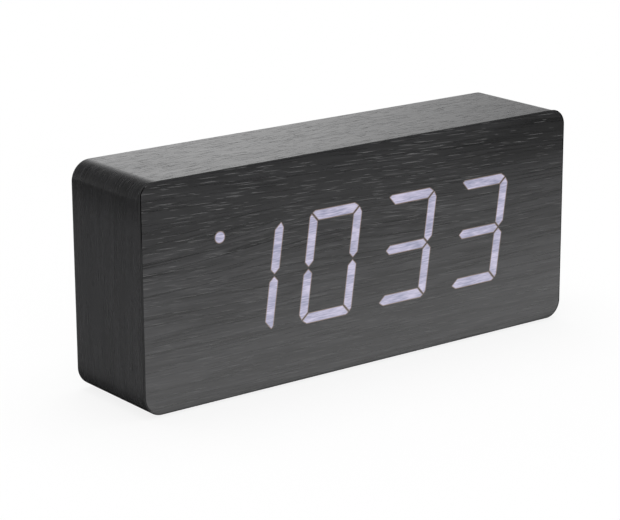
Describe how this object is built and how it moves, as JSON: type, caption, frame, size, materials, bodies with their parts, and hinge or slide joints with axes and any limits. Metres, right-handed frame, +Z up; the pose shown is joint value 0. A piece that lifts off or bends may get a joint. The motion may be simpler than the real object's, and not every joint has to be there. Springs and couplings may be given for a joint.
{
  "type": "digital alarm clock",
  "caption": "Low box-shaped digital alarm clock in black wood veneer, with seven-segment numerals that shine through the front, rear buttons, a power jack and a battery door.",
  "frame": {"origin": "on the surface that the clock stands on, under the middle of the case", "axes": "+X to the right seen from the front, +Y from the front to the back, +Z up"},
  "size_m": [0.21, 0.0466, 0.0903],
  "materials": {
    "veneer": "satin",
    "fibreboard": "matte",
    "lit_veneer": "satin",
    "diffuser": "matte",
    "white_plastic": "matte",
    "circuit_board": "satin",
    "diode": "gloss",
    "steel": "satin",
    "black_steel": "satin",
    "chip": "matte",
    "ribbon": "matte",
    "black_plastic": "matte",
    "button_plastic": "satin",
    "cell": "satin",
    "red_lead": "satin",
    "black_lead": "satin",
    "foot_rubber": "matte"
  },
  "bodies": {
    "case": {"top_board": "fibreboard", "bottom_board": "fibreboard", "left_board": "fibreboard", "right_board": "fibreboard", "wrap_veneer": "veneer", "front_board": "fibreboard", "front_veneer": "veneer", "hour_tens": "lit_veneer", "hour_units": "lit_veneer", "minute_tens": "lit_veneer", "minute_units": "lit_veneer", "indicator_dot": "lit_veneer", "diffuser_sheet": "diffuser", "segment_reflector": "white_plastic", "display_board": "circuit_board", "segment_diodes": "diode", "display_screws": "steel", "clock_chip": "chip", "quartz_crystal": "steel", "smoothing_capacitor": "chip", "ribbon_headers": "white_plastic", "ribbon_cable": "ribbon", "rear_cover": "black_plastic", "cover_screws": "black_steel", "battery_cell_1": "cell", "battery_cell_2": "cell", "battery_cell_3": "cell", "battery_cell_4": "cell", "battery_springs": "steel", "battery_plates": "steel", "positive_lead": "red_lead", "negative_lead": "black_lead", "control_board": "circuit_board", "control_screws": "steel", "tact_switches": "chip", "power_jack": "black_plastic", "jack_pin": "steel", "buzzer": "chip", "feet": "foot_rubber"},
    "set_key": {"set_button": "button_plastic", "set_plunger": "chip"},
    "up_key": {"up_button": "button_plastic", "up_plunger": "chip"},
    "down_key": {"down_button": "button_plastic", "down_plunger": "chip"},
    "battery_door": {"battery_door": "black_plastic"}
  },
  "joints": [
    {"name": "set_press", "type": "slide", "parent": "case", "child": "set_key", "axis": [0, -1, 0], "range_m": [0, 0.0005], "stiffness_N_per_m": 300},
    {"name": "up_press", "type": "slide", "parent": "case", "child": "up_key", "axis": [0, -1, 0], "range_m": [0, 0.0005], "stiffness_N_per_m": 300},
    {"name": "down_press", "type": "slide", "parent": "case", "child": "down_key", "axis": [0, -1, 0], "range_m": [0, 0.0005], "stiffness_N_per_m": 300},
    {"name": "door_tilt", "type": "hinge", "parent": "case", "child": "battery_door", "pos_m": [-0.042, 0.02075, 0.0159], "axis": [-1, 0, 0], "range_deg": [0, 90]}
  ]
}
